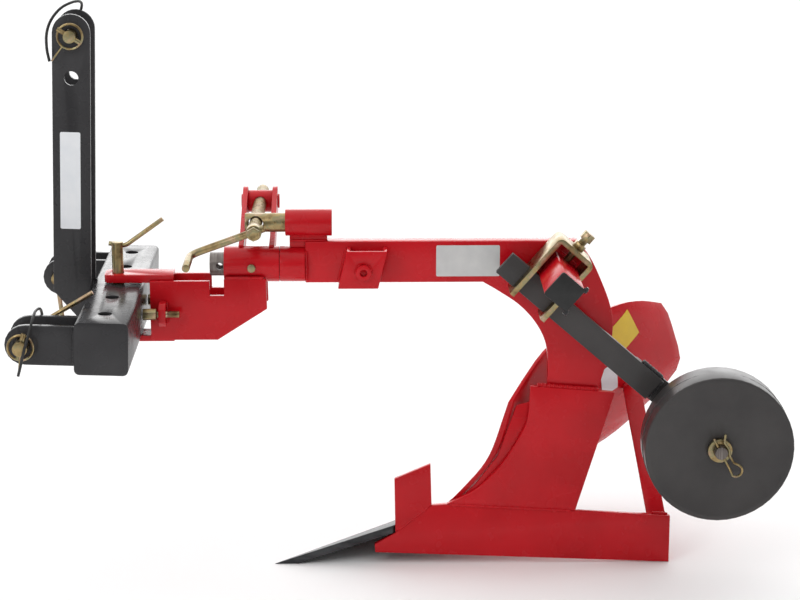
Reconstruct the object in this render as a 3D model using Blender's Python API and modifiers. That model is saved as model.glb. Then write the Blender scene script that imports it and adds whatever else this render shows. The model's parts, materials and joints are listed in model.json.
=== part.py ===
"""Single-furrow mounted moldboard plough for a compact tractor, metres, +Z up.

+X runs rearwards from the hitch, +Y to the plough's right, the way the furrow turns.
Pieces are placed from the middle of the cross tube; the last step sets the origin
below the middle of the whole plough, on the floor.
"""

import bpy
import bmesh
from math import cos, pi, radians, sin, tan
from mathutils import Matrix, Vector

# ---- driving sizes -------------------------------------------------------------
GAP = 0.0003              # between pieces that touch
TUBE_HEIGHT = 0.428       # cross tube's middle above the floor
HEAD_LEAN = radians(1.8)  # the hitch head leans back in its carriage

TUBE_SIDE = 0.080         # cross tube
TUBE_LENGTH = 0.500
TUBE_WALL = 0.006
TUBE_CORNER = 0.008
HOLE_RADIUS = 0.0105
HOLE_PITCH = 0.098
HOLE_COUNT = 5

LUG_HEIGHT = 0.060        # lower link lugs
LUG_THICK = 0.010
LUG_REACH = 0.078         # tube face to pin
LUG_PITCH = 0.055
LUG_SPREAD = 0.411        # middle of one pair to the other
LOWER_PIN_RADIUS = 0.011
LOWER_PIN_OUTER = 0.024   # pin beyond the outer lug
LOWER_PIN_INNER = 0.016

MAST_WIDTH = 0.058        # two mast plates
MAST_THICK = 0.008
MAST_PITCH = 0.060
MAST_TOP = 0.432          # top link pin above the tube's middle
MAST_LOW_HOLE = 0.366
MAST_FOOT = -0.030
TOP_PIN_RADIUS = 0.0095

RING_RADIUS = 0.019       # linch pin rings
RING_WIRE = 0.0018
LINCH_RADIUS = 0.0035

SLIDE_GAP = 0.003         # carriage plates to tube
CARRIAGE_FRONT = -0.020
CARRIAGE_REAR = 0.088
TOP_THICK = 0.012
BOTTOM_THICK = 0.009
LOCK_PIN_RADIUS = 0.009
LOCK_PIN_TOP = 0.104
LOCK_PIN_ROD = ((-0.013, 0, 0.102), (0.0125, 0, 0.098), (0.0725, 0, 0.141))
HANDLE_RADIUS = 0.0037

CHEEK_OUT = 0.030         # bracket side plates
CHEEK_THICK = 0.008
CHEEK_FRONT = 0.052
CHEEK_TOP = 0.047
CHEEK_BOTTOM = -0.048
CHEEK_REAR = 0.234
NOTCH_FRONT = 0.1455
NOTCH_REAR = 0.168
NOTCH_DEPTH = 0.0235
FACE_THICK = 0.008

SCREW_SPREAD = 0.045      # two yaw set screws
SCREW_HEIGHT = -0.002
SCREW_RADIUS = 0.005
SCREW_LUG_X = 0.067
SCREW_LUG_THICK = 0.011
SCREW_LUG_TALL = 0.037
SCREW_LUG_WIDE = 0.028
SCREW_LUG_CUT = 0.0085
SCREW_END = 0.099
SCREW_HEAD_GAP = 0.0016    # head to tube, for the swing
SCREW_HEAD_RADIUS = 0.0095
SCREW_TRAVEL = 0.004      # head to lug

ROLL_HEIGHT = 0.068       # roll axis above the tube's middle
SLEEVE_RADIUS = 0.028
BORE_RADIUS = 0.0195
PIVOT_RADIUS = 0.0185
PIVOT_BORE = 0.013
SLEEVE_SCREW_RADIUS = 0.0065
SLEEVE_SCREW_OUT = 0.006
SLEEVE_JOINT = 0.255
SLEEVE_SPLIT = 0.0008     # between the turning sleeves
SLEEVE_REAR = 0.295
PIVOT_FRONT = 0.1455
PIVOT_HOLE_IN = 0.0155    # cross hole's middle from the front end
PIVOT_HOLE_RADIUS = 0.0058

SPINDLE_X = 0.2185        # roll adjuster
SPINDLE_RADIUS = 0.010
SPINDLE_NEAR = -0.056
SPINDLE_FAR = 0.245
NUT_RADIUS = 0.015
NUT_PLAY = 0.002          # round the spindle, for the swivel
TRUNNION_Y = 0.160
TRUNNION_RADIUS = 0.0115
TRUNNION_HUB = 0.018
CLEVIS_THICK = 0.008
CLEVIS_INSIDE = 0.040
HOUSING_FRONT = 0.2645
HOUSING_LENGTH = 0.073
HOUSING_RADIUS = 0.021
WEB_FRONT = 0.271
WEB_REAR = 0.330
WEB_HALF = 0.006
CRANK_REACH = (-0.099, -0.036)
CRANK_RADIUS = 0.006
CRANK_PAST = 0.016        # arm beyond the spindle's middle
GRIP_LENGTH = 0.088

BEAM_THICK = 0.025
BEAM_LOW = 0.040
BEAM_HIGH = 0.106
NUT_HEIGHT = BEAM_HIGH + 0.0285  # spindle, above the tube's middle

BODY_THICK = 0.010

COULTER_NEAR = -0.050     # coulter bracket's outer face
COULTER_LOW = 0.0392
COULTER_HIGH = 0.0986
COULTER_FRONT = 0.347
COULTER_REAR = 0.4097
COULTER_LEAN = 0.014
COULTER_WALL = 0.006
COULTER_SCREW_X = 0.387
COULTER_SCREW_Z = 0.0665
COULTER_BOSS_RADIUS = 0.012
COULTER_BOSS_OUT = 0.0095
COULTER_BORE = 0.0058

ARM_SLOPE = radians(41)   # wheel arm, downwards to the rear
STUB_X = 0.6895
STUB_Z = 0.065
STUB_SIDE = 0.045
STUB_END = -0.170
CAP_THICK = 0.005
ARM_WIDE = 0.040
ARM_THICK = 0.012
ARM_NEAR = -0.053
ARM_FRONT = -0.073        # along the slope from the stub
ARM_TO_WHEEL = 0.008      # arm's end to the tread
STRAP_THICK = 0.008
STRAP_HALF = 0.0275       # inside, either side of the stub
STRAP_DEEP = 0.055
STRAP_NEAR = -0.075
STRAP_TOP = 0.040         # inside of the bridge, off the stub's middle
STRAP_FOOT = -0.071
WINDOW_GAP = 0.001
BOLT_RADIUS = 0.006
BOLT_ALONG = -0.002
BOLT_LOCK_TOP = 0.057     # lock nut, above the stub's middle
BOLT_HEAD_LOW = 0.065
BOLT_HEAD_TOP = 0.078
BOLT_HEAD_RADIUS = 0.0105

WHEEL_ALONG = 0.368       # axle, along the slope from the stub
WHEEL_OFF = -0.0385       # axle, across the slope
WHEEL_RADIUS = 0.117
ARM_REAR = WHEEL_ALONG - WHEEL_RADIUS - ARM_TO_WHEEL
WHEEL_NEAR = -0.118
WHEEL_WIDE = 0.066
WHEEL_SHEET = 0.005
HUB_IN = 0.005            # middle of the wheel's face, behind its rim
AXLE_RADIUS = 0.010
AXLE_PLAY = 0.001
AXLE_END = -0.136
WASHER_RADIUS = 0.019
WASHER_OUT = 0.004
LINK_THICK = 0.008
CLIP_TURN = radians(28)
CLIP_WIRE = 0.002
CLIP_HOLE = 0.0025

SHARE_ANGLE = radians(45)  # cutting edge, from the line of travel
SHARE_RISE = 0.336         # rise of the share along the landside
SHARE_TIP = 0.240
SHARE_REAR = 0.432
SHARE_WIDE = 0.215         # landside to wing
SHARE_DIP = 0.0131         # its thickness, straight down
SHARE_AHEAD = 0.030        # plate before its edge is ground off

MOLD_THICK = 0.006

STEPS = 32                 # sides of a round piece

# ---- collections, finishes and helpers ---------------------------------------------
for old in list(bpy.data.objects):
    bpy.data.objects.remove(old, do_unlink=True)

PLOUGH = bpy.data.collections.new("moldboard_plough")
CUTTERS = bpy.data.collections.new("cutters")
bpy.context.scene.collection.children.link(PLOUGH)
bpy.context.scene.collection.children.link(CUTTERS)


def finish(name, color, roughness, metallic):
    made = bpy.data.materials.new(name)
    made.use_nodes = True
    shader = made.node_tree.nodes["Principled BSDF"]
    shader.inputs["Base Color"].default_value = (*color, 1)
    shader.inputs["Roughness"].default_value = roughness
    shader.inputs["Metallic"].default_value = metallic
    return made


RED = finish("red_paint", (0.45, 0.012, 0.02), 0.3, 0.0)
GREY = finish("grey_paint", (0.045, 0.043, 0.046), 0.35, 0.0)
ZINC = finish("yellow_zinc", (0.55, 0.45, 0.25), 0.35, 0.9)
STEEL = finish("dark_steel", (0.06, 0.06, 0.065), 0.5, 0.8)
PLASTIC = finish("black_plastic", (0.012, 0.012, 0.012), 0.5, 0.0)


def empty(name, place, parent=None):
    made = bpy.data.objects.new(name, None)
    made.location = place
    made.empty_display_size = 0.05
    PLOUGH.objects.link(made)
    made.parent = parent
    return made


def put(name, mesh, look, body=None, cutter=False):
    """Names a mesh made in tube coordinates and hangs it on its body's empty."""
    made = bpy.data.objects.new(name, mesh)
    if cutter:
        CUTTERS.objects.link(made)
        made.hide_render = True
        made.display_type = "WIRE"
        return made
    PLOUGH.objects.link(made)
    made.data.materials.clear()
    made.data.materials.append(look)
    if body:
        made.parent = body
        made.location = -offset_of(body)
    return made


def offset_of(body):
    """An empty's place in tube coordinates."""
    place = Vector(body.location)
    while body.parent and body.parent != ROOT:
        body = body.parent
        place += Vector(body.location)
    return place


def mesh_of(bm, name="piece"):
    mesh = bpy.data.meshes.new(name)
    bmesh.ops.recalc_face_normals(bm, faces=bm.faces)
    bm.to_mesh(mesh)
    bm.free()
    return mesh


def box_mesh(low, high):
    bm = bmesh.new()
    bmesh.ops.create_cube(bm, size=1)
    size = Vector(high) - Vector(low)
    middle = (Vector(high) + Vector(low)) / 2
    for vert in bm.verts:
        vert.co = Vector(c * s for c, s in zip(vert.co, size)) + middle
    return mesh_of(bm)


def round_mesh(start, end, radius, steps=STEPS, end_radius=None):
    """A cylinder or cone from start to end."""
    start, end = Vector(start), Vector(end)
    turn = (end - start).to_track_quat("Z", "Y").to_matrix().to_4x4()
    bm = bmesh.new()
    bmesh.ops.create_cone(
        bm, cap_ends=True, segments=steps, radius1=radius,
        radius2=radius if end_radius is None else end_radius,
        depth=(end - start).length,
        matrix=Matrix.Translation((start + end) / 2) @ turn,
    )
    return mesh_of(bm)


def weld(mesh):
    bm = bmesh.new()
    bm.from_mesh(mesh)
    bmesh.ops.remove_doubles(bm, verts=bm.verts, dist=0.00001)
    bmesh.ops.dissolve_degenerate(bm, edges=bm.edges, dist=0.00001)
    return mesh_of(bm)


def curve_mesh(curve, matrix=Matrix.Identity(4)):
    """The closed mesh of a curve, in tube coordinates."""
    made = bpy.data.objects.new("outline", curve)
    bpy.context.scene.collection.objects.link(made)
    bpy.context.view_layer.update()
    graph = bpy.context.evaluated_depsgraph_get()
    mesh = bpy.data.meshes.new_from_object(made.evaluated_get(graph))
    bpy.data.objects.remove(made)
    mesh = weld(mesh)
    mesh.transform(matrix)
    if matrix.determinant() < 0:
        mesh.flip_normals()
    return mesh


# axes of an outline's own x, y and thickness in tube coordinates
SIDE_VIEW = Matrix(((1, 0, 0, 0), (0, 0, 1, 0), (0, 1, 0, 0), (0, 0, 0, 1)))
END_VIEW = Matrix(((0, 0, 1, 0), (1, 0, 0, 0), (0, 1, 0, 0), (0, 0, 0, 1)))
TOP_VIEW = Matrix.Identity(4)


def slab_mesh(points, low, high, view=SIDE_VIEW):
    """A flat outline, from low to high across its plane."""
    curve = bpy.data.curves.new("outline", "CURVE")
    curve.dimensions = "2D"
    curve.fill_mode = "BOTH"
    curve.extrude = (high - low) / 2
    spline = curve.splines.new("POLY")
    spline.points.add(len(points) - 1)
    for point, (x, y) in zip(spline.points, points):
        point.co = (x, y, 0, 1)
    spline.use_cyclic_u = True
    shift = Matrix.Translation((0, 0, (high + low) / 2))
    return curve_mesh(curve, view @ shift)


def arc(middle, radius, start, end, steps=10):
    """Points on an arc, angles in degrees."""
    return [
        (middle[0] + radius * cos(radians(start + (end - start) * k / steps)),
         middle[1] + radius * sin(radians(start + (end - start) * k / steps)))
        for k in range(steps + 1)
    ]


def rod_mesh(points, radius, kind="POLY", sides=3):
    """A round rod along points; a bend is rounded where the points are."""
    curve = bpy.data.curves.new("rod", "CURVE")
    curve.dimensions = "3D"
    curve.bevel_depth = radius
    curve.bevel_resolution = sides
    curve.use_fill_caps = True
    spline = curve.splines.new(kind)
    spline.points.add(len(points) - 1)
    for point, place in zip(spline.points, points):
        point.co = (*place, 1)
    return curve_mesh(curve)


def bend(a, corner, b, radius, steps=5):
    """Points round a corner between two straight runs."""
    a, corner, b = Vector(a), Vector(corner), Vector(b)
    into, out = (corner - a).normalized(), (b - corner).normalized()
    first, last = corner - into * radius, corner + out * radius
    found = []
    for k in range(steps + 1):
        t = k / steps
        found.append((1 - t) ** 2 * first + 2 * t * (1 - t) * corner + t * t * last)
    return found


def combine(mesh, others, operation):
    """The mesh with others cut away or joined on."""
    made = bpy.data.objects.new("work", mesh)
    bpy.context.scene.collection.objects.link(made)
    tools = []
    for other in others:
        tool = put("cutter", other, None, cutter=True)
        tools.append(tool)
        modifier = made.modifiers.new(operation, "BOOLEAN")
        modifier.operation = operation
        modifier.object = tool
        modifier.solver = "EXACT"
    bpy.context.view_layer.update()
    graph = bpy.context.evaluated_depsgraph_get()
    result = bpy.data.meshes.new_from_object(made.evaluated_get(graph))
    bpy.data.objects.remove(made)
    for tool in tools:
        bpy.data.objects.remove(tool)
    return weld(result)


def cut(mesh, *others):
    return combine(mesh, others, "DIFFERENCE")


def join(mesh, *others):
    return combine(mesh, others, "UNION")


# ---- the moving bodies' empties --------------------------------------------------------
SLOPE_ALONG = Vector((cos(ARM_SLOPE), 0, -sin(ARM_SLOPE)))
SLOPE_ACROSS = Vector((sin(ARM_SLOPE), 0, cos(ARM_SLOPE)))
STUB = Vector((STUB_X, 0, STUB_Z))


def on_slope(along, across, y=0.0):
    """A point given along and across the wheel arm's slope from the stub."""
    return STUB + SLOPE_ALONG * along + SLOPE_ACROSS * across + Vector((0, y, 0))


AXLE = on_slope(WHEEL_ALONG, WHEEL_OFF)

ROOT = empty("plough", (0, 0, 0))
HEAD = empty("head_frame", (0, 0, 0), ROOT)
HEAD.rotation_euler = (0, HEAD_LEAN, 0)
YAW = empty("carriage_yaw", (0, 0, 0), ROOT)
ROLL = empty("beam_roll", (SLEEVE_JOINT, 0, ROLL_HEIGHT), YAW)
NUT = empty("nut_swivel", (SPINDLE_X - SLEEVE_JOINT, 0, NUT_HEIGHT - ROLL_HEIGHT), ROLL)
LIFT = empty("wheel_lift", STUB - Vector((SLEEVE_JOINT, 0, ROLL_HEIGHT)), ROLL)
SPIN = empty("wheel_spin", AXLE - STUB, LIFT)


# ---- hitch head: cross tube, lower link lugs, mast and its pins --------------------------
FACE = TUBE_SIDE / 2      # cross tube's faces, off its middle


def square_outline(side, corner, steps=5):
    half = side / 2 - corner
    found = []
    for k, (x, y) in enumerate(((half, half), (-half, half), (-half, -half), (half, -half))):
        found += arc((x, y), corner, 90 * k, 90 * k + 90, steps)
    return found


def cross_tube():
    outer = slab_mesh(square_outline(TUBE_SIDE, TUBE_CORNER), -TUBE_LENGTH / 2, TUBE_LENGTH / 2)
    bore = TUBE_SIDE - 2 * TUBE_WALL
    inside = TUBE_LENGTH / 2 - TUBE_WALL
    hollow = slab_mesh(square_outline(bore, TUBE_CORNER / 2), -inside, inside)
    holes = []
    for k in range(HOLE_COUNT):
        y = HOLE_PITCH * (k - (HOLE_COUNT - 1) / 2)
        holes.append(round_mesh((0, y, -TUBE_SIDE), (0, y, TUBE_SIDE), HOLE_RADIUS))
    put("cross_tube", cut(outer, hollow, *holes), GREY, HEAD)


LUG_PIN_X = -FACE - LUG_REACH


def lower_lugs():
    nose = LUG_HEIGHT / 2
    outline = [(-FACE - GAP, nose)] + arc((LUG_PIN_X + 0.004, 0), nose, 90, 270)
    outline += [(-FACE - GAP, -nose)]
    for side, word in ((-1, "left"), (1, "right")):
        for way, place in ((1, "outer"), (-1, "inner")):
            y = side * (LUG_SPREAD / 2 + way * LUG_PITCH / 2)
            plate = slab_mesh(outline, y - LUG_THICK / 2, y + LUG_THICK / 2)
            hole = round_mesh((LUG_PIN_X, y - 0.02, 0), (LUG_PIN_X, y + 0.02, 0),
                              LOWER_PIN_RADIUS + 2 * GAP)
            put(f"lug_{word}_{place}", cut(plate, hole), GREY, HEAD)


MAST_X = -FACE - GAP - MAST_WIDTH / 2


def mast():
    back = -FACE - GAP
    front = back - MAST_WIDTH
    half = MAST_WIDTH / 2
    outline = [(back, MAST_FOOT), (back - 0.02, MAST_FOOT + 0.018), (front, 0.030)]
    outline += arc((MAST_X, MAST_TOP + 0.003), half, 180, 0, 14)
    for side, word in ((-1, "left"), (1, "right")):
        y = side * MAST_PITCH / 2
        plate = slab_mesh(outline, y - MAST_THICK / 2, y + MAST_THICK / 2)
        holes = [
            round_mesh((MAST_X, y - 0.02, z), (MAST_X, y + 0.02, z), radius)
            for z, radius in ((MAST_TOP, TOP_PIN_RADIUS + 2 * GAP), (MAST_LOW_HOLE, 0.011))
        ]
        put(f"mast_plate_{word}", cut(plate, *holes), GREY, HEAD)


def hitch_pin(middle, radius, outer, inner, side, handle):
    """A pin along Y with a cross hole outside and a bent handle at its inner end."""
    x, z = middle
    body = round_mesh((x, side * outer, z), (x, side * inner, z), radius)
    tip = Vector((x, side * inner, z))
    over = tip - Vector((0, side * 0.008, 0))
    start = tip + Vector((0, side * 0.006, 0))
    rod = rod_mesh([start] + bend(start, over, over + Vector(handle), 0.006)
                   + [over + Vector(handle)], HANDLE_RADIUS)
    return join(body, rod)


def place_pin(name, pin, middle, y, slant, eye):
    """The pin, and the sprung ring and shank through its cross hole at y."""
    center = Vector((middle[0], y, middle[1]))
    way = Vector((sin(slant), 0, cos(slant)))
    head = center + way * (RING_RADIUS + 0.003)
    foot = center - way * (RING_RADIUS - 0.001)
    hole = round_mesh(head + way * 0.01, foot - way * 0.01, LINCH_RADIUS + 2 * GAP, 16)
    put(name, cut(pin, hole), ZINC, HEAD)
    ring = ring_mesh(center, RING_RADIUS, RING_WIRE)
    shank = round_mesh(head, foot, LINCH_RADIUS, 16)
    eye = Vector(eye)
    hang = Vector((eye.x, 0, eye.z)).normalized() * RING_RADIUS
    link = round_mesh(center + hang, center + eye, 0.0014, 12)
    put(name.replace("pin", "linch"), join(ring, shank, link), ZINC, HEAD)


def ring_mesh(middle, radius, wire):
    """A ring of wire across the Y axis."""
    curve = bpy.data.curves.new("ring", "CURVE")
    curve.dimensions = "3D"
    curve.bevel_depth = wire
    curve.bevel_resolution = 2
    spline = curve.splines.new("POLY")
    count = 28
    spline.points.add(count - 1)
    for k, point in enumerate(spline.points):
        turn = 2 * pi * k / count
        point.co = (middle[0] + radius * cos(turn), middle[1], middle[2] + radius * sin(turn), 1)
    spline.use_cyclic_u = True
    return curve_mesh(curve)


def smooth(points, steps=4):
    """Points on one smooth curve through the given ones."""
    points = [Vector(p) for p in points]
    ends = [2 * points[0] - points[1]] + points + [2 * points[-1] - points[-2]]
    found = []
    for a, b, c, d in zip(ends, ends[1:], ends[2:], ends[3:]):
        for k in range(steps):
            t = k / steps
            found.append(0.5 * (2 * b + (c - a) * t + (2 * a - 5 * b + 4 * c - d) * t * t
                                + (3 * b - a - 3 * c + d) * t ** 3))
    return found + [points[-1]]


TETHER_RADIUS = 0.0022
LOWER_TETHER = [(-0.002, -0.0576, -0.040), (0.003, -0.0605, -0.020), (0.008, -0.0610, 0.002),
                (0.014, -0.0500, 0.026), (0.0165, -0.0350, 0.040), (0.0165, -0.0100, 0.045),
                (0.017, 0.0150, 0.043), (0.018, 0.0350, 0.038)]
TETHERS = {
    # routes from the linch pin's eye to the pin's handle, from the middle of the pin
    "top": [(-0.0306, -0.047, -0.0388), (-0.035, -0.044, -0.020), (-0.036, -0.038, 0.002),
            (-0.031, -0.027, 0.021), (-0.019, -0.010, 0.037), (-0.005, 0.010, 0.044),
            (0.005, 0.030, 0.044), (0.007, 0.046, 0.036), (0.002, 0.052, 0.018)],
    "left": LOWER_TETHER + [(0.018, 0.0500, 0.028), (0.018, 0.0565, 0.0175)],
    "right": LOWER_TETHER + [(0.012, 0.0440, 0.028), (0.002, 0.0440, 0.0138)],
}
PIN_HANDLES = {"left": (0.094, 0, 0.060), "right": (0.008, 0, -0.060)}


def pins():
    lower_mid = LUG_SPREAD / 2
    outer = lower_mid + LUG_PITCH / 2 + LUG_THICK / 2 + LOWER_PIN_OUTER
    inner = lower_mid - LUG_PITCH / 2 - LUG_THICK / 2 - LOWER_PIN_INNER
    middle = (LUG_PIN_X, 0)
    for side, word in ((-1, "left"), (1, "right")):
        pin = hitch_pin(middle, LOWER_PIN_RADIUS, outer, inner, side, PIN_HANDLES[word])
        linch_y = side * (outer - 0.010)
        place_pin(f"lower_pin_{word}", pin, middle, linch_y, radians(12),
                  (-0.002, side * 0.0075, -0.039))
        route = [(LUG_PIN_X + x, side * (lower_mid - y), z) for x, y, z in TETHERS[word]]
        put(f"tether_{word}", rod_mesh(smooth(route), TETHER_RADIUS, sides=2), PLASTIC, HEAD)
    middle = (MAST_X, MAST_TOP)
    far = MAST_PITCH / 2 + MAST_THICK / 2 + 0.021
    pin = round_mesh((MAST_X, -far, MAST_TOP), (MAST_X, far, MAST_TOP), TOP_PIN_RADIUS)
    handle = rod_mesh([(MAST_X, far - 0.006, MAST_TOP), (MAST_X, far - 0.006, MAST_TOP - 0.046)],
                      HANDLE_RADIUS)
    place_pin("top_link_pin", join(pin, handle), middle, -far + 0.008, radians(-60),
              (-0.0275, 0, -0.038))
    route = [(MAST_X + x, y, MAST_TOP + z) for x, y, z in TETHERS["top"]]
    put("tether_top", rod_mesh(smooth(route), TETHER_RADIUS, sides=2), PLASTIC, HEAD)


# ---- carriage that slides on the cross tube -------------------------------------------------
CHEEK_IN = CHEEK_OUT - CHEEK_THICK
PLATE_HALF = CHEEK_IN - GAP
SEAT_TOP = min(ROLL_HEIGHT - ((SLEEVE_RADIUS + GAP) ** 2 - CHEEK_IN ** 2) ** 0.5,
               ROLL_HEIGHT - SLEEVE_SCREW_RADIUS - GAP)


def carriage_plates():
    low = FACE + SLIDE_GAP
    corner = 0.010
    outline = arc((CARRIAGE_FRONT + corner, PLATE_HALF - corner), corner, 180, 90, 4)
    outline += [(CARRIAGE_REAR, PLATE_HALF), (CARRIAGE_REAR, -PLATE_HALF)]
    outline += arc((CARRIAGE_FRONT + corner, corner - PLATE_HALF), corner, 270, 180, 4)
    for name, bottom, top in (("carriage_top_plate", low, low + TOP_THICK),
                              ("carriage_bottom_plate", -low - BOTTOM_THICK, -low)):
        plate = slab_mesh(outline, bottom, top, TOP_VIEW)
        hole = round_mesh((0, 0, bottom - 0.01), (0, 0, top + 0.01), LOCK_PIN_RADIUS + 2 * GAP)
        put(name, cut(plate, hole), RED, YAW)
    bottom = -FACE - SLIDE_GAP - BOTTOM_THICK - 0.008
    pin = round_mesh((0, 0, bottom), (0, 0, LOCK_PIN_TOP), LOCK_PIN_RADIUS)
    low_end, corner, end = LOCK_PIN_ROD
    grip = rod_mesh([low_end] + bend(low_end, corner, end, 0.006) + [end], HANDLE_RADIUS)
    put("locking_pin", join(pin, grip), ZINC, YAW)


def bracket():
    outline = [
        (CHEEK_FRONT, CHEEK_TOP), (NOTCH_FRONT, CHEEK_TOP), (NOTCH_FRONT, NOTCH_DEPTH),
        (NOTCH_REAR, NOTCH_DEPTH), (NOTCH_REAR, SEAT_TOP), (CHEEK_REAR, SEAT_TOP),
        (CHEEK_REAR + 0.001, 0.002), (0.157, CHEEK_BOTTOM), (CHEEK_FRONT, CHEEK_BOTTOM),
    ]
    for side, word in ((-1, "left"), (1, "right")):
        ends = sorted((side * CHEEK_IN, side * CHEEK_OUT))
        put(f"bracket_{word}", slab_mesh(outline, *ends), RED, YAW)
        y = side * SCREW_SPREAD
        inner = CHEEK_OUT + GAP
        outer = inner + SCREW_LUG_WIDE
        tall = SCREW_LUG_TALL / 2
        ear = [(side * a, SCREW_HEIGHT + b) for a, b in (
            (inner, -tall), (outer - SCREW_LUG_CUT, -tall), (outer, SCREW_LUG_CUT - tall),
            (outer, tall - SCREW_LUG_CUT), (outer - SCREW_LUG_CUT, tall), (inner, tall))]
        lug = slab_mesh(ear, SCREW_LUG_X, SCREW_LUG_X + SCREW_LUG_THICK, END_VIEW)
        hole = round_mesh((SCREW_LUG_X - 0.01, y, SCREW_HEIGHT), (SCREW_END, y, SCREW_HEIGHT),
                          SCREW_RADIUS + 2 * GAP, 20)
        put(f"screw_lug_{word}", cut(lug, hole), RED, YAW)
        body = empty(f"set_screw_{word}_slide", (FACE, y, SCREW_HEIGHT), YAW)
        start = FACE + SCREW_HEAD_GAP
        head = round_mesh((start, y, SCREW_HEIGHT), (SCREW_LUG_X - SCREW_TRAVEL, y, SCREW_HEIGHT),
                          SCREW_HEAD_RADIUS, 6)
        shank = round_mesh((start + 0.005, y, SCREW_HEIGHT), (SCREW_END, y, SCREW_HEIGHT),
                           SCREW_RADIUS, 20)
        put(f"set_screw_{word}", join(head, shank), ZINC, body)
    front = CHEEK_FRONT + 0.001
    reach = FACE + SLIDE_GAP - GAP
    plate = box_mesh((front, -PLATE_HALF, -reach), (front + FACE_THICK, PLATE_HALF, reach))
    put("bracket_front", plate, RED, YAW)


AXIS_LINE = (0, ROLL_HEIGHT)


def front_sleeve():
    start, end = NOTCH_REAR, SLEEVE_JOINT - SLEEVE_SPLIT / 2
    tube = round_mesh((start, *AXIS_LINE), (end, *AXIS_LINE), SLEEVE_RADIUS)
    bore = round_mesh((start - 0.01, *AXIS_LINE), (end + 0.01, *AXIS_LINE), BORE_RADIUS)
    put("front_sleeve", cut(tube, bore), RED, YAW)
    x = SPINDLE_X - 0.007
    near = -SLEEVE_RADIUS - SLEEVE_SCREW_OUT
    screw = round_mesh((x, -SLEEVE_RADIUS - GAP, ROLL_HEIGHT), (x, near, ROLL_HEIGHT),
                       SLEEVE_SCREW_RADIUS, 20)
    put("sleeve_screw", screw, ZINC, YAW)


def adjuster():
    """The clevis on the front sleeve, its trunnion, the spindle and the crank."""
    grown = round_mesh((0, *AXIS_LINE), (0.4, *AXIS_LINE), SLEEVE_RADIUS + GAP)
    head = arc((TRUNNION_Y, NUT_HEIGHT), 0.024, 115, -80, 12)
    outline = [(-0.004, 0.080), (-0.004, 0.099), (0.034, 0.104)] + head
    outline += [(0.060, 0.078), (CHEEK_OUT - 0.004, SEAT_TOP + 0.0098)]
    middle = SPINDLE_X
    inside = CLEVIS_INSIDE / 2
    for word, start in (("front", middle - inside - CLEVIS_THICK), ("rear", middle + inside)):
        plate = slab_mesh(outline, start, start + CLEVIS_THICK, END_VIEW)
        hole = round_mesh((start - 0.01, TRUNNION_Y, NUT_HEIGHT), (start + 0.02, TRUNNION_Y, NUT_HEIGHT),
                          TRUNNION_RADIUS + 2 * GAP)
        put(f"screw_clevis_{word}", cut(plate, grown.copy(), hole), RED, YAW)
    reach = inside + CLEVIS_THICK + 0.003
    axle = round_mesh((middle - reach, TRUNNION_Y, NUT_HEIGHT), (middle + reach, TRUNNION_Y, NUT_HEIGHT),
                      TRUNNION_RADIUS)
    hub = round_mesh((middle - inside + GAP, TRUNNION_Y, NUT_HEIGHT),
                     (middle + inside - GAP, TRUNNION_Y, NUT_HEIGHT), TRUNNION_HUB)
    passage = round_mesh((middle, 0.1, NUT_HEIGHT), (middle, 0.22, NUT_HEIGHT), SPINDLE_RADIUS + GAP)
    put("trunnion", cut(join(axle, hub), passage), RED, YAW)
    put("adjusting_spindle", round_mesh((middle, SPINDLE_NEAR, NUT_HEIGHT),
                                        (middle, SPINDLE_FAR, NUT_HEIGHT), SPINDLE_RADIUS), ZINC, YAW)
    hub_end = SPINDLE_NEAR - 0.020
    hub = round_mesh((middle, SPINDLE_NEAR - GAP, NUT_HEIGHT), (middle, hub_end, NUT_HEIGHT), 0.012)
    center = Vector((middle, SPINDLE_NEAR - 0.010, NUT_HEIGHT))
    corner = center + Vector((CRANK_REACH[0], 0, CRANK_REACH[1]))
    start = center + (center - corner).normalized() * CRANK_PAST
    end = corner - Vector((0, GRIP_LENGTH, 0))
    arm = rod_mesh([start] + bend(start, corner, end, 0.018) + [end], CRANK_RADIUS, sides=4)
    put("crank_handle", join(hub, arm), ZINC, YAW)


# ---- beam, with the sleeve that turns in the carriage ----------------------------------------
BEAM_FRONT = SLEEVE_REAR + GAP
BEAM_HALF = BEAM_THICK / 2


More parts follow.
